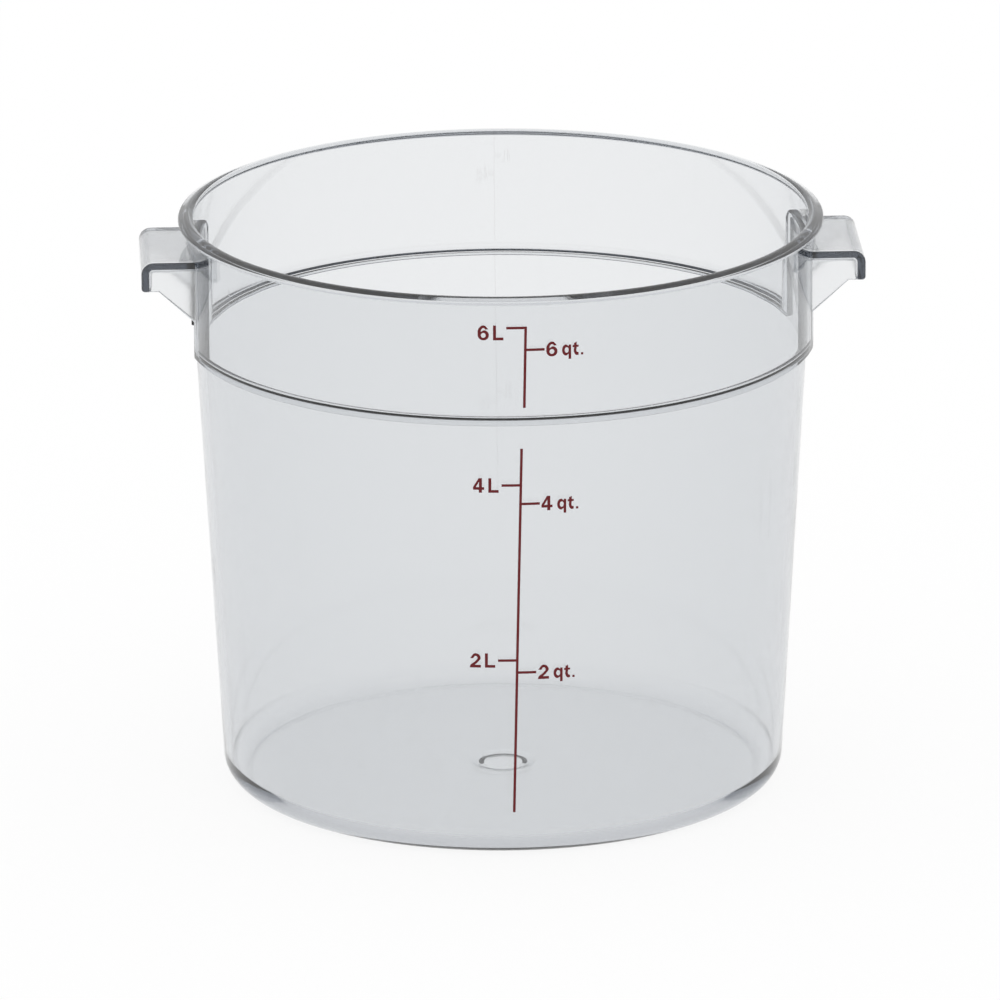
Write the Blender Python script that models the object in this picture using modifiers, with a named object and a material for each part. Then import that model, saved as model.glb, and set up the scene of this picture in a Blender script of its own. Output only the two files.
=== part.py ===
"""Round food storage container, 6 quart class, moulded in one piece with two open-bottomed
handles and printed with a litre and quart scale. Metres, +Z up, origin at the middle of the base.
The handles lie along X and the printed scale is on the front, towards -Y."""
import math

import bmesh
import bpy
from mathutils import Vector

# Driving dimensions: the turned vessel
TOTAL_HEIGHT = 0.2022
BAND_RADIUS = 0.1086
BEAD_OVERHANG = 0.0027
BEAD_HEIGHT = 0.0030
BAND_HEIGHT = 0.0457
SHOULDER_DROP = 0.0037
SHOULDER_STEP = 0.0029
BASE_RADIUS = 0.0971
WALL = 0.0026
FLOOR = 0.0030
CORNER_ROUND = 0.0085
FLOOR_FILLET = 0.0065
LEDGE_RISE = 0.0016
LEDGE_SLOPE = 0.0005
LEDGE_COVE = 0.0031
LEDGE_EDGE = 0.0002
STEP_ROUND = 0.0014
RIM_OUTER_ROUND = 0.0010
RIM_INNER_ROUND = 0.0006

# Driving dimensions: the gate mark in the middle of the base
GATE_WELL_RADIUS = 0.0083
GATE_WELL_DEPTH = 0.0012
GATE_WELL_SLOPE = 0.0014
GATE_PAD_RADIUS = 0.0123
GATE_PAD_RISE = 0.0004
GATE_PAD_SLOPE = 0.0010

# Driving dimensions: the two handles
HANDLE_STANDOFF = 0.0159
HANDLE_HALF_WIDTH = 0.0233
PLATE_DROP = 0.0102
PLATE_THICKNESS = 0.0028
LIP_THICKNESS = 0.0026
LIP_HEIGHT = 0.0104
LIP_FLAT = 0.0059
WEB_THICKNESS = 0.0027
WEB_DROP = 0.0118
HANDLE_ROUND = 0.0042
HANDLE_EDGE = 0.0006
LIP_EDGE = 0.0012
POCKET_EDGE = 0.0012
PAD_OVERLAP = 0.0005

# Driving dimensions: the printed scale
INK_GAP = 0.0003
INK_THICKNESS = 0.0004
INK_LINE = 0.0009
LOWER_LINE_FOOT = 0.0164
LOWER_LINE_CLEAR = 0.0046
UPPER_LINE_CLEAR = 0.0070
LINE_START = -0.0010
LINE_LEAN_SHARE = 0.0200
UPPER_LINE_SHIFT = 0.0005
TICK_LENGTH = 0.0061
FIGURE_HEIGHT = 0.0052
FIGURE_WIDTH = 0.0038
LITRE_HEIGHT = 0.0052
LITRE_WIDTH = 0.0035
Q_HEIGHT = 0.0051
Q_WIDTH = 0.0031
Q_TAIL = 0.0012
T_HEIGHT = 0.0047
T_WIDTH = 0.0021
STOP_SIZE = 0.0008
LITRE_FIGURE_AT = -0.0162
LITRE_LETTER_AT = -0.0110
QUART_FIGURE_AT = 0.0071
Q_AT = 0.0125
T_AT = 0.0161
STOP_AT = 0.0190
LABEL_DROP = 0.0021

# Heights of the marks, where the vessel holds that much: shares of the band from the shoulder up
# to the rim, and shares of the body from its underside up to the shoulder
BAND_MARK_SHARES = {"6_litre": 0.777, "6_quart": 0.598}
BODY_MARK_SHARES = {"4_litre": 0.884, "4_quart": 0.840, "2_litre": 0.470, "2_quart": 0.441}

# Outlines of the bold characters, as shares of each one's width and height. A point is (across, up),
# and a third value marks one where the outline runs on round instead of turning a corner.
ROUND = True
GLYPH_SHARES = {
    "L": [[(0, 0), (1, 0), (1, 0.19), (0.29, 0.19), (0.29, 1), (0, 1)]],
    "4": [[(0.52, 0), (0.80, 0), (0.80, 0.20), (1, 0.20), (1, 0.38), (0.80, 0.38), (0.80, 1), (0.50, 1),
           (0, 0.38), (0, 0.20), (0.52, 0.20)],
          [(0.53, 0.38), (0.25, 0.38), (0.53, 0.75)]],
    "2": [[(0, 0), (1, 0), (1, 0.19), (0.45, 0.19), (0.78, 0.43, ROUND), (0.98, 0.71, ROUND),
           (0.51, 1, ROUND), (0.03, 0.66), (0.31, 0.64), (0.51, 0.81, ROUND), (0.69, 0.69, ROUND),
           (0.48, 0.44, ROUND), (0.06, 0.17, ROUND)]],
    "6": [[(0.96, 0.74), (0.53, 1, ROUND), (0.12, 0.82, ROUND), (0, 0.47, ROUND), (0.13, 0.12, ROUND),
           (0.50, 0, ROUND), (0.87, 0.10, ROUND), (1, 0.33, ROUND), (0.88, 0.57, ROUND), (0.58, 0.67, ROUND),
           (0.28, 0.56), (0.36, 0.75, ROUND), (0.54, 0.82, ROUND), (0.69, 0.72)],
          [(0.29, 0.33, ROUND), (0.50, 0.49, ROUND), (0.72, 0.33, ROUND), (0.50, 0.17, ROUND)]],
    "q": [[(1, 0), (1, 0.98), (0.74, 0.98), (0.72, 0.88), (0.42, 1, ROUND), (0.11, 0.88, ROUND),
           (0, 0.62, ROUND), (0.11, 0.36, ROUND), (0.42, 0.24, ROUND), (0.71, 0.35), (0.71, 0)],
          [(0.29, 0.62, ROUND), (0.51, 0.81, ROUND), (0.72, 0.62, ROUND), (0.51, 0.43, ROUND)]],
    "t": [[(1, 0.02), (1, 0.20), (0.70, 0.26, ROUND), (0.68, 0.60), (1, 0.60), (1, 0.76), (0.68, 0.76),
           (0.68, 1), (0.24, 0.90), (0.24, 0.76), (0, 0.76), (0, 0.60), (0.24, 0.60), (0.24, 0.22, ROUND),
           (0.62, 0, ROUND)]],
    ".": [[(0, 0), (1, 0), (1, 1), (0, 1)]],
}

# How finely round shapes are cut
TURN_STEPS = 96
ARC_STEPS = 3
CORNER_STEPS = 6
EDGE_STEPS = 2
GLYPH_STEPS = 3
SHARP_ANGLE = 50

# What every cutter runs past the face that it cuts
OVERRUN = 0.0020
MERGE = 0.00001

# Worked out from the sizes above
RIM_RADIUS = BAND_RADIUS + BEAD_OVERHANG
SHOULDER_RADIUS = BAND_RADIUS - SHOULDER_STEP
SHOULDER_TOP = TOTAL_HEIGHT - BAND_HEIGHT
SHOULDER_FOOT = SHOULDER_TOP - SHOULDER_DROP
BAND_INNER = BAND_RADIUS - WALL
BODY_INNER_TOP = SHOULDER_RADIUS - WALL
BODY_INNER_BASE = BASE_RADIUS - WALL
LEDGE_LIP = SHOULDER_TOP + LEDGE_RISE
LEDGE_BACK = LEDGE_LIP + LEDGE_SLOPE
HANDLE_REACH = BAND_RADIUS + HANDLE_STANDOFF
PLATE_TOP = TOTAL_HEIGHT - PLATE_DROP
LIP_FOOT = PLATE_TOP - LIP_HEIGHT
PAD_HALF_WIDTH = HANDLE_HALF_WIDTH + PAD_OVERLAP
LOWER_LINE_HEAD = SHOULDER_FOOT - LOWER_LINE_CLEAR
UPPER_LINE_FOOT = SHOULDER_TOP + UPPER_LINE_CLEAR
MARK_HEIGHTS = {name: SHOULDER_TOP + BAND_HEIGHT * share for name, share in BAND_MARK_SHARES.items()}
MARK_HEIGHTS.update({name: SHOULDER_FOOT * share for name, share in BODY_MARK_SHARES.items()})
UPPER_LINE_HEAD = MARK_HEIGHTS["6_litre"]


def clear_scene():
    """Empty the scene, its meshes and its collections."""
    for thing in list(bpy.data.objects):
        bpy.data.objects.remove(thing, do_unlink=True)
    for group in list(bpy.data.collections):
        bpy.data.collections.remove(group)


def make_collection(name):
    """A collection linked to the scene."""
    group = bpy.data.collections.new(name)
    bpy.context.scene.collection.children.link(group)
    return group


def make_material(name, colour, roughness):
    """A Principled material of one colour."""
    material = bpy.data.materials.new(name)
    material.use_nodes = True
    shader = material.node_tree.nodes["Principled BSDF"]
    shader.inputs["Base Color"].default_value = (*colour, 1.0)
    shader.inputs["Roughness"].default_value = roughness
    shader.inputs["Metallic"].default_value = 0.0
    return material


def rounded_outline(corners):
    """Points of an outline whose corners (x, y, radius, steps) are arcs, the ends left sharp."""
    points = []
    for index, (x, y, radius, steps) in enumerate(corners):
        corner = Vector((x, y))
        if radius == 0:
            points.append(corner)
            continue
        before = Vector(corners[index - 1][:2])
        after = Vector(corners[(index + 1) % len(corners)][:2])
        back = (before - corner).normalized()
        on = (after - corner).normalized()
        half_angle = back.angle(on) / 2
        centre = corner + (back + on).normalized() * (radius / math.sin(half_angle))
        start = corner + back * (radius / math.tan(half_angle)) - centre
        turn = (math.pi - 2 * half_angle) * math.copysign(1, back.x * on.y - back.y * on.x) * -1
        for step in range(steps + 1):
            angle = turn * step / steps
            cos, sin = math.cos(angle), math.sin(angle)
            points.append(centre + Vector((start.x * cos - start.y * sin, start.x * sin + start.y * cos)))
    return points


def turned(name, outline, closed, group):
    """A body of revolution about Z from an outline of (radius, height) points."""
    mesh = bpy.data.meshes.new(name)
    count = len(outline)
    edges = [(i, i + 1) for i in range(count - 1)]
    if closed:
        edges.append((count - 1, 0))
    mesh.from_pydata([(p.x, 0.0, p.y) for p in outline], edges, [])
    thing = bpy.data.objects.new(name, mesh)
    group.objects.link(thing)
    screw = thing.modifiers.new("turn", "SCREW")
    screw.angle = 2 * math.pi
    screw.steps = TURN_STEPS
    screw.render_steps = TURN_STEPS
    screw.use_merge_vertices = True
    screw.merge_threshold = MERGE
    screw.use_smooth_shade = False
    return thing


def plate_from_outline(name, outline, half_thickness, group):
    """A flat plate in the XZ plane from an outline of (x, z) points, made a welded mesh."""
    curve = bpy.data.curves.new(name + "_outline", "CURVE")
    curve.dimensions = "2D"
    curve.fill_mode = "BOTH"
    curve.extrude = half_thickness
    spline = curve.splines.new("POLY")
    spline.points.add(len(outline) - 1)
    for point, place in zip(spline.points, outline):
        point.co = (place.x, place.y, 0.0, 1.0)
    spline.use_cyclic_u = True
    drawn = bpy.data.objects.new(name + "_drawn", curve)
    bpy.context.scene.collection.objects.link(drawn)
    mesh = mesh_of_curve(drawn, name)
    for vertex in mesh.vertices:
        x, y, z = vertex.co
        vertex.co = (x, -z, y)
    thing = bpy.data.objects.new(name, mesh)
    group.objects.link(thing)
    return thing


def mesh_of_curve(drawn, name):
    """The mesh that a curve or text object draws, with its caps welded on."""
    bpy.context.view_layer.update()
    graph = bpy.context.evaluated_depsgraph_get()
    mesh = bpy.data.meshes.new_from_object(drawn.evaluated_get(graph))
    mesh.name = name
    curve = drawn.data
    bpy.data.objects.remove(drawn, do_unlink=True)
    bpy.data.curves.remove(curve)
    work = bmesh.new()
    work.from_mesh(mesh)
    bmesh.ops.remove_doubles(work, verts=work.verts, dist=MERGE)
    bmesh.ops.recalc_face_normals(work, faces=work.faces)
    work.to_mesh(mesh)
    work.free()
    return mesh


def box(name, low, high, group):
    """A box between two corners."""
    mesh = bpy.data.meshes.new(name)
    work = bmesh.new()
    bmesh.ops.create_cube(work, size=1.0)
    for vertex in work.verts:
        share = [c + 0.5 for c in vertex.co]
        vertex.co = [a + (b - a) * s for a, b, s in zip(low, high, share)]
    work.to_mesh(mesh)
    work.free()
    thing = bpy.data.objects.new(name, mesh)
    group.objects.link(thing)
    return thing


def combine(thing, other, operation):
    """Join, cut or keep the common part of a piece and another, with the exact solver."""
    step = thing.modifiers.new(operation.lower() + "_" + other.name, "BOOLEAN")
    step.operation = operation
    step.solver = "EXACT"
    step.object = other


def soften(thing, width, segments):
    """Round the sharp edges of a piece."""
    bevel = thing.modifiers.new("edges", "BEVEL")
    bevel.width = width
    bevel.segments = segments
    bevel.limit_method = "ANGLE"
    bevel.angle_limit = math.radians(SHARP_ANGLE)


def vessel_outline():
    """Half section of the vessel: up the inside from the middle, over the rim, down the outside."""
    fine, coarse = ARC_STEPS, CORNER_STEPS
    return rounded_outline([
        (0.0, FLOOR + GATE_PAD_RISE, 0.0, 0),
        (GATE_PAD_RADIUS - GATE_PAD_SLOPE, FLOOR + GATE_PAD_RISE, 0.0, 0),
        (GATE_PAD_RADIUS, FLOOR, 0.0, 0),
        (BODY_INNER_BASE, FLOOR, FLOOR_FILLET, coarse),
        (BODY_INNER_TOP, LEDGE_LIP, LEDGE_EDGE, EDGE_STEPS),
        (BAND_INNER, LEDGE_BACK, LEDGE_COVE, coarse),
        (BAND_INNER, TOTAL_HEIGHT, RIM_INNER_ROUND, fine),
        (RIM_RADIUS, TOTAL_HEIGHT, RIM_OUTER_ROUND, fine),
        (RIM_RADIUS, TOTAL_HEIGHT - BEAD_HEIGHT, RIM_OUTER_ROUND, fine),
        (BAND_RADIUS, TOTAL_HEIGHT - BEAD_HEIGHT, 0.0, 0),
        (BAND_RADIUS, SHOULDER_TOP, STEP_ROUND, fine),
        (SHOULDER_RADIUS, SHOULDER_FOOT, STEP_ROUND, fine),
        (BASE_RADIUS, 0.0, CORNER_ROUND, coarse),
        (GATE_WELL_RADIUS, 0.0, 0.0, 0),
        (GATE_WELL_RADIUS - GATE_WELL_SLOPE, GATE_WELL_DEPTH, 0.0, 0),
        (0.0, GATE_WELL_DEPTH, 0.0, 0),
    ])


def inner_pads(cutters):
    """The thick places behind the handles, where the inner wall runs straight up to the rim."""
    mid_wall = (BAND_INNER + BAND_RADIUS) / 2
    foot = LEDGE_LIP - LEDGE_RISE / 2
    ring = turned("pad_ring", rounded_outline([
        (BODY_INNER_TOP, foot, 0.0, 0),
        (BODY_INNER_TOP, TOTAL_HEIGHT, RIM_INNER_ROUND, ARC_STEPS),
        (mid_wall, TOTAL_HEIGHT, 0.0, 0),
        (mid_wall, LEDGE_BACK, 0.0, 0),
        ((BODY_INNER_TOP + SHOULDER_RADIUS) / 2, foot, 0.0, 0),
    ]), True, cutters)
    reach = BAND_RADIUS + OVERRUN
    top = TOTAL_HEIGHT + OVERRUN
    strip = box("pad_strip", (-reach, -PAD_HALF_WIDTH, 0.0), (reach, PAD_HALF_WIDTH, top), cutters)
    combine(ring, strip, "INTERSECT")
    return ring


def handle_blank(cutters):
    """The outer shape of one handle, solid: top plate, turned-down lip and sloping webs."""
    root = (BODY_INNER_TOP + SHOULDER_RADIUS) / 2
    web_foot = LIP_FOOT - WEB_DROP
    blank = plate_from_outline("handle_blank", rounded_outline([
        (root, PLATE_TOP, 0.0, 0),
        (HANDLE_REACH, PLATE_TOP, HANDLE_ROUND, CORNER_STEPS),
        (HANDLE_REACH, LIP_FOOT, LIP_EDGE, ARC_STEPS),
        (HANDLE_REACH - LIP_FLAT, LIP_FOOT, 0.0, 0),
        (SHOULDER_RADIUS, web_foot, 0.0, 0),
        (root, web_foot, 0.0, 0),
    ]), HANDLE_HALF_WIDTH, cutters)
    soften(blank, HANDLE_EDGE, 1)
    return blank


def pocket_cutter(cutters):
    """The finger hollow: open below, closed by the plate, the lip, the webs and the set-back wall."""
    ceiling = PLATE_TOP - PLATE_THICKNESS
    foot = SHOULDER_FOOT - OVERRUN
    lip_inside = HANDLE_REACH - LIP_THICKNESS
    pocket = plate_from_outline("pocket", rounded_outline([
        (BODY_INNER_TOP, ceiling, 0.0, 0),
        (lip_inside, ceiling, HANDLE_ROUND - LIP_THICKNESS, ARC_STEPS),
        (lip_inside, foot, 0.0, 0),
        (BODY_INNER_TOP, foot, 0.0, 0),
    ]), HANDLE_HALF_WIDTH - WEB_THICKNESS, cutters)
    soften(pocket, POCKET_EDGE, EDGE_STEPS)
    core = turned("wall_core", [
        Vector((0.0, TOTAL_HEIGHT)),
        Vector((SHOULDER_RADIUS, TOTAL_HEIGHT)),
        Vector((SHOULDER_RADIUS, 0.0)),
        Vector((0.0, 0.0)),
    ], False, cutters)
    combine(pocket, core, "DIFFERENCE")
    return pocket


def turned_about(thing, name, group):
    """A copy of a piece turned half a turn about Z, for the other handle."""
    copy = thing.copy()
    copy.data = thing.data.copy()
    copy.name = name
    copy.rotation_euler = (0.0, 0.0, math.pi)
    group.objects.link(copy)
    return copy


def build_container(parts, cutters):
    """The moulded container: the turned vessel, its pads and handles joined on, its pockets cut."""
    vessel = turned("container_body", vessel_outline(), False, parts)
    pads = inner_pads(cutters)
    combine(vessel, pads, "UNION")
    blank = handle_blank(cutters)
    pocket = pocket_cutter(cutters)
    for piece in (blank, turned_about(blank, "handle_blank_left", cutters)):
        combine(vessel, piece, "UNION")
    for piece in (pocket, turned_about(pocket, "pocket_left", cutters)):
        combine(vessel, piece, "DIFFERENCE")
    for guide in cutters.objects:
        guide.hide_render = True
        guide.display_type = "WIRE"
    plastic = make_material("clear_plastic", (0.93, 0.95, 0.95), 0.04)
    shader = plastic.node_tree.nodes["Principled BSDF"]
    shader.inputs["Transmission Weight"].default_value = 1.0
    shader.inputs["IOR"].default_value = 1.58
    vessel.data.materials.append(plastic)
    return vessel


def wall_radius(height):
    """Radius of the outer wall at a height, on the band or on the tapered body."""
    if height > SHOULDER_FOOT:
        return BAND_RADIUS
    return BASE_RADIUS + (SHOULDER_RADIUS - BASE_RADIUS) * height / SHOULDER_FOOT


def line_offset(height):
    """How far round the wall from the front the printed line lies: it leans, and steps at the band."""
    offset = LINE_START + (height - LOWER_LINE_FOOT) * LINE_LEAN_SHARE
    if height > SHOULDER_FOOT:
        offset += UPPER_LINE_SHIFT
    return offset


def wrap_on_wall(mesh):
    """Lay a drawn mesh on the wall: x is the way round, z the height and y the way out."""
    for vertex in mesh.vertices:
        around, depth, height = vertex.co
        wall = wall_radius(height)
        angle = around / wall
        radius = wall + INK_GAP + INK_THICKNESS / 2 - depth
        vertex.co = (radius * math.sin(angle), -radius * math.cos(angle), height)


def comb_outline(foot, head, shares):
    """Outline of a printed line with its ticks, up the left side and down the right side."""
    half = INK_LINE / 2
    left, right = [], []
    for name in sorted(shares, key=shares.get):
        height = MARK_HEIGHTS[name]
        middle = line_offset(height)
        top = min(height + half, head)
        low = top - INK_LINE
        if name.endswith("litre"):
            side, root, tip = left, middle - half, middle - TICK_LENGTH
        else:
            side, root, tip = right, middle + half, middle + TICK_LENGTH
        side += [Vector((root, low)), Vector((tip, low)), Vector((tip, top))]
        if top < head:
            side.append(Vector((root, top)))
    start = [Vector((line_offset(foot) + half, foot)), Vector((line_offset(foot) - half, foot))]
    end = [Vector((line_offset(head) + half, head))]
    if head not in MARK_HEIGHTS.values():
        end.insert(0, Vector((line_offset(head) - half, head)))
    return start + left + end + right[::-1]


def build_line(name, foot, head, shares, parts, material):
    """One printed line with its ticks, as a thin plate on the wall."""
    line = plate_from_outline(name, comb_outline(foot, head, shares), INK_THICKNESS / 2, parts)
    wrap_on_wall(line.data)
    line.data.materials.append(material)


def wall_lean(height):
    """How far the outer wall leans out from upright at a height."""
    if height > SHOULDER_FOOT:
        return 0.0
    return math.atan((SHOULDER_RADIUS - BASE_RADIUS) / SHOULDER_FOOT)


def glyph_mesh(name, contours, width, height):
    """A flat plate in the XZ plane, centred on the origin, cut to a character's outline."""
    curve = bpy.data.curves.new(name + "_outline", "CURVE")
    curve.dimensions = "2D"
    curve.fill_mode = "BOTH"
    curve.resolution_u = GLYPH_STEPS
    curve.extrude = INK_THICKNESS / 2
    for contour in contours:
        spline = curve.splines.new("BEZIER")
        spline.bezier_points.add(len(contour) - 1)
        spline.use_cyclic_u = True
        for point, (across, up, *is_round) in zip(spline.bezier_points, contour):
            point.co = ((across - 0.5) * width, (up - 0.5) * height, 0.0)
            handle = "AUTO" if is_round else "VECTOR"
            point.handle_left_type = handle
            point.handle_right_type = handle
    drawn = bpy.data.objects.new(name + "_drawn", curve)
    bpy.context.scene.collection.objects.link(drawn)
    mesh = mesh_of_curve(drawn, name)
    for vertex in mesh.vertices:
        x, y, z = vertex.co
        vertex.co = (x, -z, y)
    return mesh


def build_glyph(name, character, left, foot, width, height, parts, material):
    """One printed character, a thin flat plate lying against the wall, leaning with its taper."""
    mesh = glyph_mesh(name, GLYPH_SHARES[character], width, height)
    glyph = bpy.data.objects.new(name, mesh)
    parts.objects.link(glyph)
    middle = foot + height / 2
    wall = wall_radius(middle)
    angle = (left + width / 2) / wall
    radius = wall + INK_GAP + INK_THICKNESS / 2
    glyph.location = (radius * math.sin(angle), -radius * math.cos(angle), middle)
    glyph.rotation_euler = (wall_lean(middle), 0.0, angle)
    mesh.materials.append(material)


def build_label(name, height, parts, material):
    """The characters of one mark: a figure and an L, or a figure and qt with its full stop."""
    middle = line_offset(height)
    base = height - FIGURE_HEIGHT / 2
    if height == UPPER_LINE_HEAD:
        base -= LABEL_DROP
    digit = name[0]
    if name.endswith("litre"):
        glyphs = [
            ("figure", digit, LITRE_FIGURE_AT, base, FIGURE_WIDTH, FIGURE_HEIGHT),
            ("letter_l", "L", LITRE_LETTER_AT, base, LITRE_WIDTH, LITRE_HEIGHT),
        ]
    else:
        glyphs = [
            ("figure", digit, QUART_FIGURE_AT, base, FIGURE_WIDTH, FIGURE_HEIGHT),
            ("letter_q", "q", Q_AT, base - Q_TAIL, Q_WIDTH, Q_HEIGHT),
            ("letter_t", "t", T_AT, base, T_WIDTH, T_HEIGHT),
            ("full_stop", ".", STOP_AT, base, STOP_SIZE, STOP_SIZE),
        ]
    for part, text, at, foot, width, height in glyphs:
        build_glyph("ink_" + name + "_" + part, text, middle + at, foot, width, height, parts, material)


def build():
    """Make the whole container."""
    clear_scene()
    parts = make_collection("food_storage_container")
    cutters = make_collection("cutters")
    build_container(parts, cutters)
    ink = make_material("scale_ink", (0.105, 0.016, 0.020), 0.45)
    build_line("ink_scale_line_lower", LOWER_LINE_FOOT, LOWER_LINE_HEAD, BODY_MARK_SHARES, parts, ink)
    build_line("ink_scale_line_upper", UPPER_LINE_FOOT, UPPER_LINE_HEAD, BAND_MARK_SHARES, parts, ink)
    for name, height in MARK_HEIGHTS.items():
        build_label(name, height, parts, ink)


build()
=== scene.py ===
"""Clear round food storage container with a printed litre and quart scale: its looks, light and camera."""
import math

import bpy
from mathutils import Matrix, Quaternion, Vector


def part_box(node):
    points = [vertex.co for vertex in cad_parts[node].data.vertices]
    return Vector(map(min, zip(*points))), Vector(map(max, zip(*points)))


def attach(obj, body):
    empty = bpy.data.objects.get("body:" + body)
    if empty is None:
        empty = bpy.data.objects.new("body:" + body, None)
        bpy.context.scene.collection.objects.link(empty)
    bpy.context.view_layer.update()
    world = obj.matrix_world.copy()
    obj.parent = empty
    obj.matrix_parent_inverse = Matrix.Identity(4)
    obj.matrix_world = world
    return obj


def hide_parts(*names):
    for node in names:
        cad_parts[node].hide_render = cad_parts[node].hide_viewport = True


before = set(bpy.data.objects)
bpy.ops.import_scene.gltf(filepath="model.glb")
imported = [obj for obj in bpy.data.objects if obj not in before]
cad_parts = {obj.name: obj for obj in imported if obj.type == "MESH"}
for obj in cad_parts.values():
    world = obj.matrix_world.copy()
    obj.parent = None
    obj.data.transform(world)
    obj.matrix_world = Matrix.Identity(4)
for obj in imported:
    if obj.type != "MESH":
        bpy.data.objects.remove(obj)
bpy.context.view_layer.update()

# The vessel: one injection moulding of clear polycarbonate, open at the top. Its wall is turned here from
# a half section: a beaded rim, a straight band with a stacking ledge inside, a tapered body, a rounded
# foot, and the shallow well that the mould's gate leaves in the middle of the base.
vessel_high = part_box("container_body")[1]
TOTAL_HEIGHT = vessel_high.z
RIM_RADIUS = vessel_high.y
BEAD_OVERHANG = 0.0027
BEAD_HEIGHT = 0.0024
BAND_HEIGHT = 0.0457
SHOULDER_DROP = 0.0037
SHOULDER_STEP = 0.0029
BASE_RADIUS = 0.0971
WALL = 0.0026
FLOOR = 0.0030
LEDGE_RISE = 0.0016
LEDGE_SLOPE = 0.0005
BAND_RADIUS = RIM_RADIUS - BEAD_OVERHANG
SHOULDER_TOP = TOTAL_HEIGHT - BAND_HEIGHT
SHOULDER_FOOT = SHOULDER_TOP - SHOULDER_DROP
STEP_TOP = 0.1571
STEP_FOOT = 0.1566
SHOULDER_RADIUS = BAND_RADIUS - SHOULDER_STEP
BODY_INSIDE = SHOULDER_RADIUS - WALL
BAND_INSIDE = BAND_RADIUS - WALL
LEDGE_LIP = SHOULDER_TOP + LEDGE_RISE
LEDGE_BACK = LEDGE_LIP + LEDGE_SLOPE
GATE_PAD = 0.0123
GATE_PAD_RISE = 0.0004
GATE_PAD_SLOPE = 0.0010
GATE_WELL = 0.0083
GATE_WELL_DEPTH = 0.0012
GATE_WELL_SLOPE = 0.0016
GATE_WELL_LIP = 0.0007
GATE_WELL_COVE = 0.0011
FLOOR_FILLET = 0.0078
FOOT_ROUND = 0.0085
LEDGE_EDGE = 0.0002
LEDGE_COVE = 0.0031
STEP_EDGE = 0.0004
STEP_COVE = 0.0005
RIM_TOP_WIDTH = 0.0031
RIM_INNER_ROUND = 0.0014
RIM_OUTER_ROUND = 0.0035
BEAD_SIDE_DROP = 0.0013
BEAD_SIDE_ROUND = 0.0008
BEAD_FOOT_EDGE = 0.0005
BEAD_COVE = 0.0003
TURN_STEPS = 288
WELD = 0.000005


def deselect():
    """Start from nothing selected, in object mode."""
    if bpy.context.object and bpy.context.object.mode == "EDIT":
        bpy.ops.object.mode_set(mode="OBJECT")
    bpy.ops.object.select_all(action="DESELECT")


def rounded(corners):
    """Points of an outline of (x, z, radius, steps) corners, each rounded to its radius by an arc."""
    points = []
    for index, (x, z, radius, steps) in enumerate(corners):
        corner = Vector((x, z))
        if radius == 0:
            points.append(corner)
            continue
        back = (Vector(corners[index - 1][:2]) - corner).normalized()
        on = (Vector(corners[(index + 1) % len(corners)][:2]) - corner).normalized()
        half_angle = back.angle(on) / 2
        centre = corner + (back + on).normalized() * (radius / math.sin(half_angle))
        start = corner + back * (radius / math.tan(half_angle)) - centre
        turned = math.copysign(math.pi - 2 * half_angle, on.x * back.y - on.y * back.x)
        for step in range(steps + 1):
            angle = turned * step / steps
            points.append(centre + Vector((start.x * math.cos(angle) - start.y * math.sin(angle),
                                           start.x * math.sin(angle) + start.y * math.cos(angle))))
    return points


def draw_outline(name, outline, at_y=0.0):
    """A new mesh in edit mode: one vertex extruded from point to point along an outline in the XZ plane."""
    deselect()
    bpy.ops.mesh.primitive_plane_add(size=WALL)
    piece = bpy.context.object
    piece.name = name
    bpy.ops.object.mode_set(mode="EDIT")
    bpy.ops.mesh.select_all(action="SELECT")
    bpy.ops.mesh.merge(type="CENTER")
    places = [Vector((point.x, at_y, point.y)) for point in outline]
    bpy.ops.transform.translate(value=places[0])
    for here, there in zip(places, places[1:]):
        bpy.ops.mesh.extrude_vertices_move(TRANSFORM_OT_translate={"value": there - here})
    return piece


def turn(piece):
    """Spin the drawn outline once round the Z axis, close it and face it outwards."""
    bpy.ops.mesh.select_all(action="SELECT")
    bpy.ops.mesh.spin(steps=TURN_STEPS, angle=2 * math.pi, center=(0, 0, 0), axis=(0, 0, 1))
    bpy.ops.mesh.select_all(action="SELECT")
    bpy.ops.mesh.remove_doubles(threshold=WELD)
    bpy.ops.mesh.normals_make_consistent(inside=False)
    bpy.ops.object.mode_set(mode="OBJECT")
    return piece


def carve(piece, tool, operation):
    """Join or cut a piece with another by a Boolean, and throw the tool away."""
    deselect()
    step = piece.modifiers.new("carve", "BOOLEAN")
    step.operation = operation
    step.solver = "EXACT"
    step.object = tool
    bpy.context.view_layer.objects.active = piece
    piece.select_set(True)
    bpy.ops.object.modifier_apply(modifier=step.name)
    bpy.data.objects.remove(tool)


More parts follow.
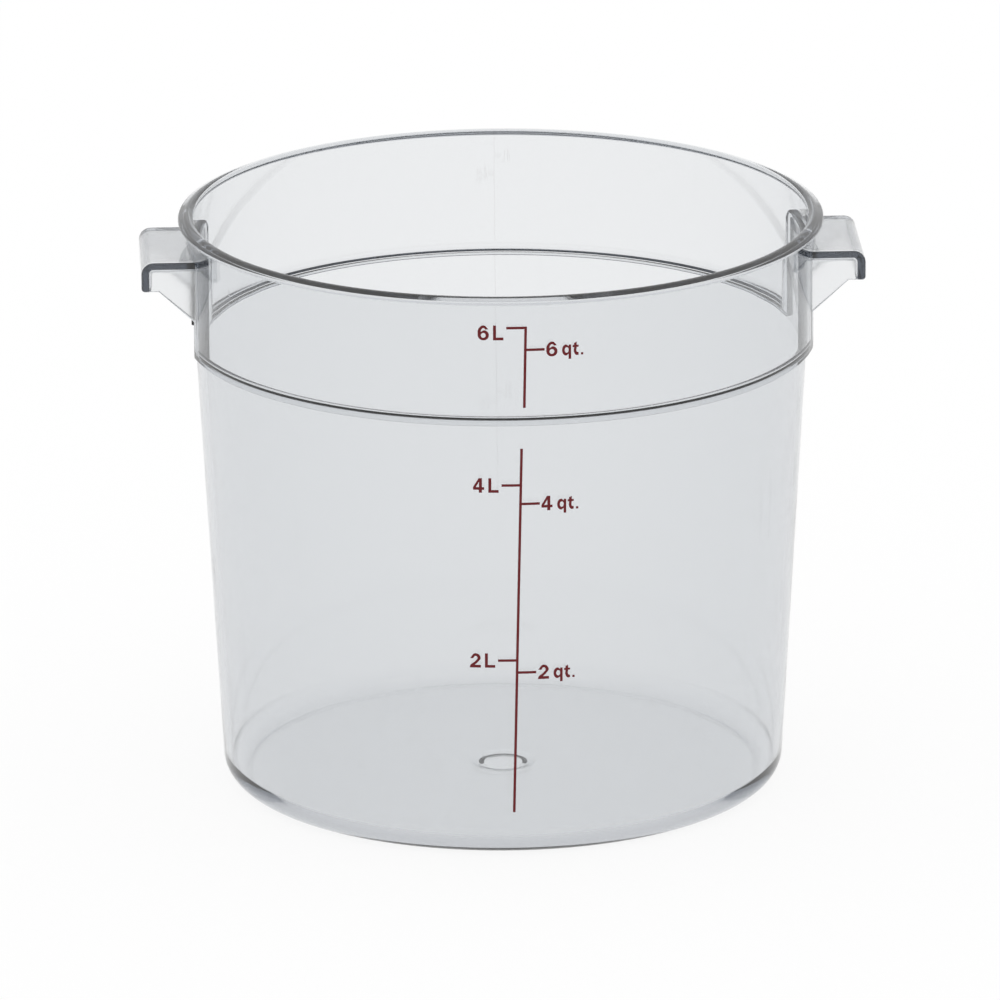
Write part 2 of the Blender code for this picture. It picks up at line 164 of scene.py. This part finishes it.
moulding = turn(draw_outline("clear_moulding", rounded([
    (0.0, FLOOR + GATE_PAD_RISE, 0, 0),
    (GATE_PAD - GATE_PAD_SLOPE, FLOOR + GATE_PAD_RISE, 0, 0),
    (GATE_PAD, FLOOR, 0, 0),
    (BASE_RADIUS - WALL, FLOOR, FLOOR_FILLET, 16),
    (BODY_INSIDE, LEDGE_LIP, LEDGE_EDGE, 3),
    (BAND_INSIDE, LEDGE_BACK, LEDGE_COVE, 14),
    (BAND_INSIDE, TOTAL_HEIGHT, RIM_INNER_ROUND, 8),
    (RIM_RADIUS - RIM_TOP_WIDTH, TOTAL_HEIGHT, RIM_OUTER_ROUND, 10),
    (RIM_RADIUS, TOTAL_HEIGHT - BEAD_SIDE_DROP, BEAD_SIDE_ROUND, 8),
    (RIM_RADIUS, TOTAL_HEIGHT - BEAD_HEIGHT, BEAD_FOOT_EDGE, 6),
    (BAND_RADIUS, TOTAL_HEIGHT - BEAD_HEIGHT, BEAD_COVE, 4),
    (BAND_RADIUS, STEP_TOP, STEP_EDGE, 5),
    (SHOULDER_RADIUS, STEP_FOOT, STEP_COVE, 5),
    (BASE_RADIUS, 0.0, FOOT_ROUND, 18),
    (GATE_WELL, 0.0, GATE_WELL_LIP, 5),
    (GATE_WELL - GATE_WELL_SLOPE, GATE_WELL_DEPTH, GATE_WELL_COVE, 5),
    (0.0, GATE_WELL_DEPTH, 0.0, 0),
])))

# The plastic as it leaves the mould: clear polycarbonate with a polished surface and a faint grey tint that
# deepens with its thickness. Its surface is finished below, once the handles are on.
PLASTIC_FACE = (0.985, 0.990, 0.990, 1.0)
PLASTIC_IOR = 1.585
PLASTIC_TINT = (0.860, 0.8675, 0.879, 1.0)
TINT_DENSITY = 400.0


class Socket:
    """One output of a shader node, so that a sum of sockets is written as a sum."""

    def __init__(self, tree, socket):
        self.tree = tree
        self.socket = socket

    def node(self, kind, settings=None, inputs=None, output=0):
        """A new node of that type with its settings, and the values or links of its inputs."""
        made = self.tree.nodes.new(kind)
        for name, value in (settings or {}).items():
            setattr(made, name, value)
        for name, value in (inputs or {}).items():
            if isinstance(value, Socket):
                self.tree.links.new(value.socket, made.inputs[name])
            else:
                made.inputs[name].default_value = value
        return Socket(self.tree, made.outputs[output])

    def maths(self, operation, *values):
        """A Math node of these values."""
        return self.node("ShaderNodeMath", {"operation": operation}, dict(enumerate(values)))

    def __add__(self, other):
        return self.maths("ADD", self, other)

    def __rsub__(self, other):
        return self.maths("SUBTRACT", other, self)

    def __mul__(self, other):
        return self.maths("MULTIPLY", self, other)

    def __pow__(self, other):
        return self.maths("POWER", self, other)


def material(name):
    """A new node material: its tree, its Principled node and the Object coordinates."""
    made = bpy.data.materials.new(name)
    made.use_nodes = True
    tree = made.node_tree
    place = tree.nodes.new("ShaderNodeTexCoord").outputs["Object"]
    return made, tree.nodes["Principled BSDF"], Socket(tree, place)


plastic, shader, place = material("clear_polycarbonate")
shader.inputs["Base Color"].default_value = PLASTIC_FACE
shader.inputs["IOR"].default_value = PLASTIC_IOR
shader.inputs["Transmission Weight"].default_value = 1.0
depth = plastic.node_tree.nodes.new("ShaderNodeVolumeAbsorption")
depth.inputs["Color"].default_value = PLASTIC_TINT
depth.inputs["Density"].default_value = TINT_DENSITY
plastic.node_tree.links.new(depth.outputs["Volume"],
                            plastic.node_tree.nodes["Material Output"].inputs["Volume"])

moulding.data.materials.clear()
moulding.data.materials.append(plastic)

# Two thick pads, of the same shot of plastic: behind each handle the inside of the band runs straight up
# from the ledge and stops short of the rim, with its top corners cut off. Each is cut from a turned ring.
PAD_HALF_WIDTH = 0.0238
PAD_TOP = 0.1949
PAD_CORNER = 0.0030
PAD_EDGE = 0.0008
PAD_FOOT = LEDGE_LIP - LEDGE_RISE / 2
CUT_WELD = 0.000001
MID_WALL = BAND_RADIUS - WALL / 2
for side in (1, -1):
    pad = turn(draw_outline("pad", rounded([
        (MID_WALL, PAD_TOP, 0, 0),
        (MID_WALL, LEDGE_BACK, 0, 0),
        (SHOULDER_RADIUS - WALL / 2, PAD_FOOT, 0, 0),
        (BODY_INSIDE, PAD_FOOT, 0, 0),
        (BODY_INSIDE, PAD_TOP, PAD_EDGE, 6),
        (MID_WALL, PAD_TOP, 0, 0),
    ])))
    bpy.ops.object.mode_set(mode="EDIT")
    for plane, normal in (((0, PAD_HALF_WIDTH, 0), (0, 1, 0)), ((0, -PAD_HALF_WIDTH, 0), (0, -1, 0)),
                          ((0, 0, 0), (-side, 0, 0)),
                          ((0, PAD_HALF_WIDTH, PAD_TOP - PAD_CORNER), (0, 1, 1)),
                          ((0, -PAD_HALF_WIDTH, PAD_TOP - PAD_CORNER), (0, -1, 1))):
        bpy.ops.mesh.select_all(action="SELECT")
        bpy.ops.mesh.bisect(plane_co=plane, plane_no=normal, use_fill=True, clear_outer=True,
                            threshold=CUT_WELD)
    bpy.ops.mesh.select_all(action="SELECT")
    bpy.ops.mesh.normals_make_consistent(inside=False)
    bpy.ops.object.mode_set(mode="OBJECT")
    carve(moulding, pad, "UNION")

# The two handles, moulded on: a top plate with a turned-down lip, carried by two webs that slope back
# into the wall, and open below for the fingertips. Each is drawn as a solid and then hollowed.
HANDLE_REACH = vessel_high.x
HANDLE_HALF_WIDTH = 0.0233
PLATE_DROP = 0.0102
LIP_HEIGHT = 0.0104
WEB_DROP = 0.0118
PLATE_TOP = TOTAL_HEIGHT - PLATE_DROP
LIP_FOOT = PLATE_TOP - LIP_HEIGHT
WEB_FOOT = LIP_FOOT - WEB_DROP
LIP_FLAT = 0.0059
LIP_EDGE = 0.0012
POCKET_EDGE = 0.0012
POCKET_DROP = 0.0020
POCKET_FOOT = SHOULDER_FOOT - POCKET_DROP
PLATE_THICKNESS = 0.0028
LIP_THICKNESS = 0.0026
WEB_THICKNESS = 0.0027
HANDLE_ROUND = 0.0042
HANDLE_EDGE = 0.0015
SHARP_ANGLE = math.radians(50)


def slab(name, outline, half_width, edge, edge_steps):
    """A flat plate of that outline, filled, thickened along Y and with its rims bevelled."""
    piece = draw_outline(name, outline, -half_width)
    bpy.ops.mesh.select_all(action="SELECT")
    bpy.ops.mesh.edge_face_add()
    bpy.ops.mesh.select_all(action="SELECT")
    bpy.ops.mesh.extrude_region_move(TRANSFORM_OT_translate={"value": (0, 2 * half_width, 0)})
    bpy.ops.mesh.select_all(action="SELECT")
    bpy.ops.mesh.normals_make_consistent(inside=False)
    bpy.ops.object.mode_set(mode="OBJECT")
    bevel = piece.modifiers.new("edges", "BEVEL")
    bevel.width = edge
    bevel.segments = edge_steps
    bevel.limit_method = "ANGLE"
    bevel.angle_limit = SHARP_ANGLE
    bpy.ops.object.modifier_apply(modifier=bevel.name)
    return piece


for side in (1, -1):
    web_root = SHOULDER_RADIUS - WALL / 2
    blank = slab("handle_blank", rounded([
        (side * web_root, PLATE_TOP, 0, 0),
        (side * HANDLE_REACH, PLATE_TOP, HANDLE_ROUND, 12),
        (side * HANDLE_REACH, LIP_FOOT, LIP_EDGE, 6),
        (side * (HANDLE_REACH - LIP_FLAT), LIP_FOOT, 0, 0),
        (side * SHOULDER_RADIUS, WEB_FOOT, 0, 0),
        (side * web_root, WEB_FOOT, 0, 0),
    ]), HANDLE_HALF_WIDTH, HANDLE_EDGE, 6)
    carve(moulding, blank, "UNION")
    pocket = slab("pocket", rounded([
        (side * BODY_INSIDE, PLATE_TOP - PLATE_THICKNESS, 0, 0),
        (side * (HANDLE_REACH - LIP_THICKNESS), PLATE_TOP - PLATE_THICKNESS, HANDLE_ROUND - LIP_THICKNESS, 8),
        (side * (HANDLE_REACH - LIP_THICKNESS), POCKET_FOOT, 0, 0),
        (side * BODY_INSIDE, POCKET_FOOT, 0, 0),
    ]), HANDLE_HALF_WIDTH - WEB_THICKNESS, POCKET_EDGE, 5)
    core = turn(draw_outline("core", [
        Vector((0.0, TOTAL_HEIGHT)),
        Vector((SHOULDER_RADIUS, TOTAL_HEIGHT)),
        Vector((SHOULDER_RADIUS, 0.0)),
        Vector((0.0, 0.0)),
    ]))
    carve(pocket, core, "DIFFERENCE")
    carve(moulding, pocket, "DIFFERENCE")

# The moulding's surface: satin in the hollows of the handles, and polished elsewhere, with the few hair
# scratches of handling. The polish is never quite even: it waves a little, every 15 mm or so.
SATIN = 0.20
HOLLOW_MARGIN = 0.0003
SCRATCH = 0.10
SCRATCHED_OVER = 0.70
SCRATCH_TURN = (0.5, 0.3, 0.0)
SCRATCH_SCALE = (260.0, 260.0, 14.0)
WAVE_SCALE = 65.0
GRAIN_SCALE = 1400.0
GRAIN_SHARE = 0.4
WAVE_HEIGHT = 0.000025
SMOOTH_UP_TO = math.radians(32)
NORMAL_WEIGHT = 50


def split(vector):
    """The three parts of a vector socket."""
    parts = vector.tree.nodes.new("ShaderNodeSeparateXYZ")
    vector.tree.links.new(vector.socket, parts.inputs[0])
    return [Socket(vector.tree, output) for output in parts.outputs]


sideways, forward, up = split(place)
sideways = sideways.maths("ABSOLUTE", sideways)
forward = forward.maths("ABSOLUTE", forward)
from_axis = (sideways * sideways + forward * forward) ** 0.5
in_hollow = (up.maths("LESS_THAN", forward, HANDLE_HALF_WIDTH - WEB_THICKNESS + HOLLOW_MARGIN)
             * up.maths("LESS_THAN", up, PLATE_TOP - PLATE_THICKNESS + HOLLOW_MARGIN)
             * up.maths("LESS_THAN", sideways, HANDLE_REACH - LIP_THICKNESS + HOLLOW_MARGIN)
             * up.maths("GREATER_THAN", up, WEB_FOOT)
             * up.maths("GREATER_THAN", from_axis, SHOULDER_RADIUS - HOLLOW_MARGIN))
streaks = place.node("ShaderNodeMapping", {"vector_type": "POINT"},
                     {"Vector": place, "Rotation": SCRATCH_TURN, "Scale": SCRATCH_SCALE})
hairs = place.node("ShaderNodeTexNoise", None, {"Vector": streaks, "Scale": 1.0, "Detail": 1.0})
scratches = hairs.maths("GREATER_THAN", hairs, SCRATCHED_OVER)
rough = in_hollow * SATIN + (1.0 - in_hollow) * scratches * SCRATCH
plastic.node_tree.links.new(rough.socket, shader.inputs["Roughness"])
waves = place.node("ShaderNodeTexNoise", None, {"Vector": place, "Scale": WAVE_SCALE, "Detail": 1.0})
grain = place.node("ShaderNodeTexNoise", None, {"Vector": place, "Scale": GRAIN_SCALE, "Detail": 2.0})
relief = place.node("ShaderNodeBump", None, {"Height": waves + in_hollow * grain * GRAIN_SHARE,
                                             "Strength": 1.0, "Distance": WAVE_HEIGHT})
plastic.node_tree.links.new(relief.socket, shader.inputs["Normal"])

deselect()
moulding.select_set(True)
bpy.context.view_layer.objects.active = moulding
bpy.ops.object.shade_smooth_by_angle(angle=SMOOTH_UP_TO)
weighted = moulding.modifiers.new("normals", "WEIGHTED_NORMAL")
weighted.keep_sharp = True
weighted.weight = NORMAL_WEIGHT
bpy.ops.object.modifier_apply(modifier=weighted.name)
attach(moulding, "root")
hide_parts("container_body")

# The printed scale: dark red ink printed on the outside of the wall, a film a few hundredths of a
# millimetre thick. Two lines carry a tick for each mark, and beside each tick stand its characters.
INK_FILM = 0.00003
INK_LIFT = 0.00006
INK_LINE = 0.0009
TICK_LENGTH = 0.0061
LINE_START = -0.0010
LINE_FOOT = 0.0164
LINE_LEAN_SHARE = 0.0200
UPPER_LINE_SHIFT = 0.0005
TICK_PARTS = 4
INK_BRIGHT = (0.160, 0.013, 0.016, 1.0)
INK_DEEP = (0.125, 0.010, 0.013, 1.0)
INK_GRAIN = 900.0
INK_ROUGHNESS = 0.38
INK_WEAR = 0.3
INK_GLOSS = 0.25
CURVE_STEPS = 8
ROUND = True
CHARACTERS = {
    "L": [[(0, 0), (1, 0), (1, 0.19), (0.29, 0.19), (0.29, 1), (0, 1)]],
    "4": [[(0.52, 0), (0.80, 0), (0.80, 0.20), (1, 0.20), (1, 0.38), (0.80, 0.38), (0.80, 1), (0.50, 1),
           (0, 0.38), (0, 0.20), (0.52, 0.20)],
          [(0.53, 0.38), (0.25, 0.38), (0.53, 0.75)]],
    "2": [[(0, 0), (1, 0), (1, 0.19), (0.45, 0.19), (0.78, 0.43, ROUND), (0.98, 0.71, ROUND),
           (0.51, 1, ROUND), (0.03, 0.66), (0.31, 0.64), (0.51, 0.81, ROUND), (0.69, 0.69, ROUND),
           (0.48, 0.44, ROUND), (0.06, 0.17, ROUND)]],
    "6": [[(0.96, 0.74), (0.53, 1, ROUND), (0.12, 0.82, ROUND), (0, 0.47, ROUND), (0.13, 0.12, ROUND),
           (0.50, 0, ROUND), (0.87, 0.10, ROUND), (1, 0.33, ROUND), (0.88, 0.57, ROUND), (0.58, 0.67, ROUND),
           (0.28, 0.56), (0.36, 0.75, ROUND), (0.54, 0.82, ROUND), (0.69, 0.72)],
          [(0.29, 0.33, ROUND), (0.50, 0.49, ROUND), (0.72, 0.33, ROUND), (0.50, 0.17, ROUND)]],
    "q": [[(1, 0), (1, 0.98), (0.74, 0.98), (0.72, 0.88), (0.42, 1, ROUND), (0.11, 0.88, ROUND),
           (0, 0.62, ROUND), (0.11, 0.36, ROUND), (0.42, 0.24, ROUND), (0.71, 0.35), (0.71, 0)],
          [(0.29, 0.62, ROUND), (0.51, 0.81, ROUND), (0.72, 0.62, ROUND), (0.51, 0.43, ROUND)]],
    "t": [[(1, 0.02), (1, 0.20), (0.70, 0.26, ROUND), (0.68, 0.60), (1, 0.60), (1, 0.76), (0.68, 0.76),
           (0.68, 1), (0.24, 0.90), (0.24, 0.76), (0, 0.76), (0, 0.60), (0.24, 0.60), (0.24, 0.22, ROUND),
           (0.62, 0, ROUND)]],
    ".": [[(0, 0), (1, 0), (1, 1), (0, 1)]],
}
SHAPES = {"figure": ((0.0038, 0.0052), None), "letter_l": ((0.0035, 0.0052), "L"),
          "letter_q": ((0.0031, 0.0051), "q"), "letter_t": ((0.0021, 0.0047), "t"),
          "full_stop": ((0.0008, 0.0008), ".")}


def wall_radius(height):
    """Radius of the cone that the printing is laid on: the wall's, and up to 0.2 mm outside it on the body."""
    if height > SHOULDER_FOOT:
        return BAND_RADIUS
    return BASE_RADIUS + (SHOULDER_RADIUS - BASE_RADIUS) * height / SHOULDER_FOOT


def film(name, contours, around, foot, width, height):
    """A filled flat outline made a mesh and laid on the wall: contours are shares of its width and height."""
    deselect()
    curve = bpy.data.curves.new(name, "CURVE")
    curve.dimensions = "2D"
    curve.fill_mode = "BOTH"
    curve.resolution_u = CURVE_STEPS
    curve.extrude = INK_FILM / 2
    for contour in contours:
        spline = curve.splines.new("BEZIER")
        spline.bezier_points.add(len(contour) - 1)
        spline.use_cyclic_u = True
        for point, (across, up, *is_round) in zip(spline.bezier_points, contour):
            point.co = (across * width, up * height, 0.0)
            handle = "AUTO" if is_round else "VECTOR"
            point.handle_left_type = handle
            point.handle_right_type = handle
    piece = bpy.data.objects.new(name, curve)
    bpy.context.scene.collection.objects.link(piece)
    bpy.context.view_layer.objects.active = piece
    piece.select_set(True)
    bpy.ops.object.convert(target="MESH")
    piece = bpy.context.object
    bpy.ops.object.mode_set(mode="EDIT")
    bpy.ops.mesh.select_all(action="SELECT")
    bpy.ops.mesh.remove_doubles(threshold=WELD)
    bpy.ops.object.mode_set(mode="OBJECT")
    for vertex in piece.data.vertices:
        x, z, out = vertex.co
        radius = wall_radius(foot + z) + INK_LIFT + out
        angle = (around + x) / wall_radius(foot + z)
        vertex.co = (radius * math.sin(angle), -radius * math.cos(angle), foot + z)
    bpy.ops.object.mode_set(mode="EDIT")
    bpy.ops.mesh.select_all(action="SELECT")
    bpy.ops.mesh.normals_make_consistent(inside=False)
    bpy.ops.object.mode_set(mode="OBJECT")
    return piece


def comb(foot, head, marks):
    """Contour in metres of a line with its ticks: litre ticks go left, quart ticks right."""
    def middle(height):
        lean = LINE_START + (height - LINE_FOOT) * LINE_LEAN_SHARE
        return lean + (UPPER_LINE_SHIFT if height > SHOULDER_FOOT else 0.0)
    half = INK_LINE / 2
    left, right = [], []
    for name, height in sorted(marks.items(), key=lambda mark: mark[1]):
        way = -1 if name.endswith("litre") else 1
        high = min(height + half, head)
        low = high - INK_LINE
        stops = [middle(height) + way * (half + TICK_LENGTH * part / TICK_PARTS)
                 for part in range(TICK_PARTS + 1)]
        points = [(x, low) for x in stops] + [(x, high) for x in reversed(stops)]
        (left if way < 0 else right).append((height, points))
    outline = [(middle(foot) + half, foot)]
    for _, points in right:
        outline += points
    outline.append((middle(head) + half, head))
    if not (left and left[-1][0] + half >= head - WELD):
        outline.append((middle(head) - half, head))
    for _, points in reversed(left):
        outline += list(reversed(points))
    outline.append((middle(foot) - half, foot))
    return outline


ink, ink_shader, ink_place = material("scale_ink")
worn = ink_place.node("ShaderNodeTexNoise", None, {"Vector": ink_place, "Scale": INK_GRAIN, "Detail": 3.0})
shade = worn.node("ShaderNodeMix", {"data_type": "RGBA"}, {0: worn, 6: INK_BRIGHT, 7: INK_DEEP}, 2)
ink_shader.inputs["Specular IOR Level"].default_value = INK_GLOSS
ink.node_tree.links.new(shade.socket, ink_shader.inputs["Base Color"])
ink.node_tree.links.new((worn * INK_WEAR + INK_ROUGHNESS).socket, ink_shader.inputs["Roughness"])
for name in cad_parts:
    if not name.startswith("ink_") or name.startswith("ink_scale_line"):
        continue
    low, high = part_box(name)
    capacity, _, kind = name[4:].split("_", 2)
    (width, height), character = SHAPES[kind]
    middle = (low + high) / 2
    around = math.atan2(middle.x, -middle.y) * wall_radius(middle.z)
    piece = film(name[4:] + "_film", CHARACTERS[character or capacity],
                 around - width / 2, middle.z - height / 2, width, height)
    piece.data.materials.append(ink)
    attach(piece, "root")
    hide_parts(name)

for name, marks in (("ink_scale_line_upper", ("6_litre", "6_quart")),
                    ("ink_scale_line_lower", ("4_litre", "4_quart", "2_litre", "2_quart"))):
    low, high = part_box(name)
    heights = {}
    for mark in marks:
        box_low, box_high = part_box("ink_" + mark + "_figure")
        heights[mark] = (box_low.z + box_high.z) / 2
    if "6_litre" in heights:
        heights["6_litre"] = high.z - INK_LINE / 2
    line = film(name[4:] + "_film", [comb(low.z, high.z, heights)], 0.0, 0.0, 1.0, 1.0)
    line.data.materials.append(ink)
    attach(line, "root")
    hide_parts(name)

# The stage: a plain white table that runs on for metres under an even white sky. The camera sees it white,
# and so do the clear wall and the gloss on it. A little of its white is paint and not glow, so that it takes
# a soft shadow.
TABLE_SIZE = 60
TABLE_DROP = 0.0001
TABLE_PAINT = 0.12
TABLE_LIGHT = 0.60
deselect()
bpy.ops.mesh.primitive_plane_add(size=TABLE_SIZE, location=(0, 0, -TABLE_DROP))
table = bpy.context.object
table.name = "table"
paint, table_shader, table_place = material("white_table")
table_shader.inputs["Base Color"].default_value = (TABLE_PAINT, TABLE_PAINT, TABLE_PAINT, 1.0)
table_shader.inputs["Roughness"].default_value = 1.0
table_shader.inputs["Specular IOR Level"].default_value = 0.0
table_shader.inputs["Emission Strength"].default_value = 1.0
by_camera = table_place.node("ShaderNodeLightPath", output=0)
in_gloss = table_place.node("ShaderNodeLightPath", output=3)
through_glass = table_place.node("ShaderNodeLightPath", output=6)
seen = by_camera.maths("MAXIMUM", by_camera, in_gloss.maths("MAXIMUM", in_gloss, through_glass))
glow = seen * (1.0 - TABLE_PAINT) + (1.0 - seen) * TABLE_LIGHT
paint.node_tree.links.new(glow.socket, table_shader.inputs["Emission Color"])
table.data.materials.append(paint)

# The sky: plain white from every side, at the level where a colour looks as it is written.
WHITE = (1.0, 1.0, 1.0, 1.0)
world = bpy.data.worlds.new("white_sky")
bpy.context.scene.world = world
world.use_nodes = True
world.node_tree.nodes["Background"].inputs["Color"].default_value = WHITE
world.node_tree.nodes["Background"].inputs["Strength"].default_value = 1.0

# The camera: a long lens four metres off, looking down on the container from the front, as in the photo.
CAMERA_DISTANCE = 4.0
CAMERA_PITCH = math.radians(17.07)
CAMERA_TURN = math.radians(2.75)
CAMERA_ROLL = math.radians(-0.26)
SENSOR_WIDTH = 36
PICTURE_WIDTH = 1000
LENS_IN_PIXELS = 11513.2
SEES_TO = 100
AIM = Vector((-0.000680, 0.0, 0.097815))
camera_data = bpy.data.cameras.new("camera")
camera_data.sensor_width = SENSOR_WIDTH
camera_data.lens = LENS_IN_PIXELS * SENSOR_WIDTH / PICTURE_WIDTH
camera_data.clip_end = SEES_TO
camera = bpy.data.objects.new("camera", camera_data)
bpy.context.scene.collection.objects.link(camera)
bpy.context.scene.camera = camera
about_z = Quaternion((0, 0, 1), -CAMERA_TURN)
ahead = Vector((0, math.cos(CAMERA_PITCH), -math.sin(CAMERA_PITCH)))
camera.location = about_z @ (AIM - ahead * CAMERA_DISTANCE)
camera.rotation_mode = "QUATERNION"
camera.rotation_quaternion = (about_z @ Quaternion((1, 0, 0), math.pi / 2 - CAMERA_PITCH)
                              @ Quaternion((0, 0, 1), CAMERA_ROLL))
bpy.context.scene.view_settings.view_transform = "Standard"

# Light runs far inside a clear wall before it leaves it, so it is followed for more turns than usual.
BOUNCES = 32
for bounces in ("max_bounces", "transmission_bounces", "glossy_bounces"):
    setattr(bpy.context.scene.cycles, bounces, BOUNCES)
